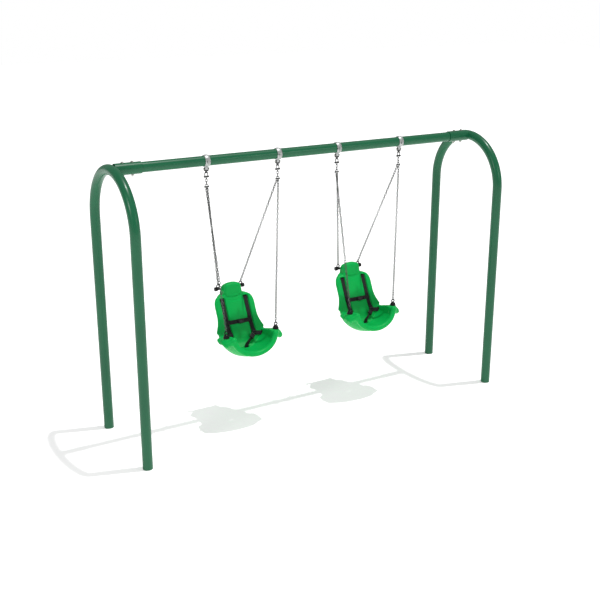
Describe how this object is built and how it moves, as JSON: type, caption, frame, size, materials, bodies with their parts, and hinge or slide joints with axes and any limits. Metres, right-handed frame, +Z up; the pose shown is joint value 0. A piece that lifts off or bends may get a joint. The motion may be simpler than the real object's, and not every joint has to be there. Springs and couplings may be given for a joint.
{
  "type": "swing set",
  "caption": "Arched-leg swing frame with high-back bucket seats, each hung on branching chains and fitted with a webbing harness.",
  "frame": {"origin": "on the ground under the middle of the top rail", "axes": "+X along the top rail, +Y behind the seats, +Z up; the seats face -Y"},
  "size_m": [3.8118, 1.0316, 2.5427],
  "materials": {
    "frame_paint": "gloss powder coat",
    "galvanised": "hot-dip galvanised, satin",
    "zinc": "zinc plated",
    "bushing": "satin",
    "seat_plastic": "satin moulded",
    "black_coating": "dipped coating",
    "webbing": "woven",
    "black_plastic": "satin"
  },
  "bodies": {
    "frame": {"left_arch": "frame_paint", "right_arch": "frame_paint", "top_rail": "frame_paint", "left_sleeve": "frame_paint", "right_sleeve": "frame_paint", "sleeve_bolts": "zinc", "hanger_clamp_bolts": "zinc", "hanger_bushings": "bushing", "hanger_1_upper_clamp": "galvanised", "hanger_1_lower_clamp": "galvanised", "hanger_2_upper_clamp": "galvanised", "hanger_2_lower_clamp": "galvanised", "hanger_3_upper_clamp": "galvanised", "hanger_3_lower_clamp": "galvanised", "hanger_4_upper_clamp": "galvanised", "hanger_4_lower_clamp": "galvanised"},
    "swing_1_pendulum": {"swing_1_pendulums": "galvanised", "swing_1_pivot_bolts": "zinc", "swing_1_shackles": "galvanised", "swing_1_upper_links": "galvanised", "swing_1_fork_shackles": "galvanised"},
    "swing_1_seat": {"swing_1_seat_shell": "seat_plastic", "swing_1_front_eyes": "black_coating", "swing_1_eye_nuts": "zinc", "swing_1_rear_eyes": "black_coating", "swing_1_rear_bar": "zinc", "swing_1_front_right_chain": "galvanised", "swing_1_front_left_chain": "galvanised", "swing_1_rear_right_chain": "galvanised", "swing_1_rear_left_chain": "galvanised", "swing_1_shoulder_straps": "webbing", "swing_1_chest_strap": "webbing", "swing_1_strap_buckles": "black_plastic", "swing_1_lap_straps": "webbing", "swing_1_harness_tongue": "zinc", "swing_1_crotch_strap": "webbing", "swing_1_harness_buckle": "black_plastic"},
    "swing_1_button": {"swing_1_harness_button": "black_plastic"},
    "swing_2_pendulum": {"swing_2_pendulums": "galvanised", "swing_2_pivot_bolts": "zinc", "swing_2_shackles": "galvanised", "swing_2_upper_links": "galvanised", "swing_2_fork_shackles": "galvanised"},
    "swing_2_seat": {"swing_2_seat_shell": "seat_plastic", "swing_2_front_eyes": "black_coating", "swing_2_eye_nuts": "zinc", "swing_2_rear_eyes": "black_coating", "swing_2_rear_bar": "zinc", "swing_2_front_right_chain": "galvanised", "swing_2_front_left_chain": "galvanised", "swing_2_rear_right_chain": "galvanised", "swing_2_rear_left_chain": "galvanised", "swing_2_shoulder_straps": "webbing", "swing_2_chest_strap": "webbing", "swing_2_strap_buckles": "black_plastic", "swing_2_lap_straps": "webbing", "swing_2_harness_tongue": "zinc", "swing_2_crotch_strap": "webbing", "swing_2_harness_buckle": "black_plastic"},
    "swing_2_button": {"swing_2_harness_button": "black_plastic"}
  },
  "joints": [
    {"name": "swing_1_pivot", "type": "hinge", "parent": "frame", "child": "swing_1_pendulum", "pos_m": [-0.663, 0, 2.414], "axis": [1, 0, 0], "range_deg": [-60, 60]},
    {"name": "swing_1_seat_tilt", "type": "hinge", "parent": "swing_1_pendulum", "child": "swing_1_seat", "pos_m": [-0.663, 0, 2.258], "axis": [1, 0, 0], "range_deg": [-20, 20]},
    {"name": "swing_1_buckle_release", "type": "slide", "parent": "swing_1_seat", "child": "swing_1_button", "axis": [-0.2925, 0.6562, -0.6956], "range_m": [0, 0.002], "stiffness_N_per_m": 800, "springref_m": -0.002},
    {"name": "swing_2_pivot", "type": "hinge", "parent": "frame", "child": "swing_2_pendulum", "pos_m": [0.663, 0, 2.414], "axis": [1, 0, 0], "range_deg": [-60, 60]},
    {"name": "swing_2_seat_tilt", "type": "hinge", "parent": "swing_2_pendulum", "child": "swing_2_seat", "pos_m": [0.663, 0, 2.258], "axis": [1, 0, 0], "range_deg": [-20, 20]},
    {"name": "swing_2_buckle_release", "type": "slide", "parent": "swing_2_seat", "child": "swing_2_button", "axis": [-0.2925, 0.6562, -0.6956], "range_m": [0, 0.002], "stiffness_N_per_m": 800, "springref_m": -0.002}
  ]
}
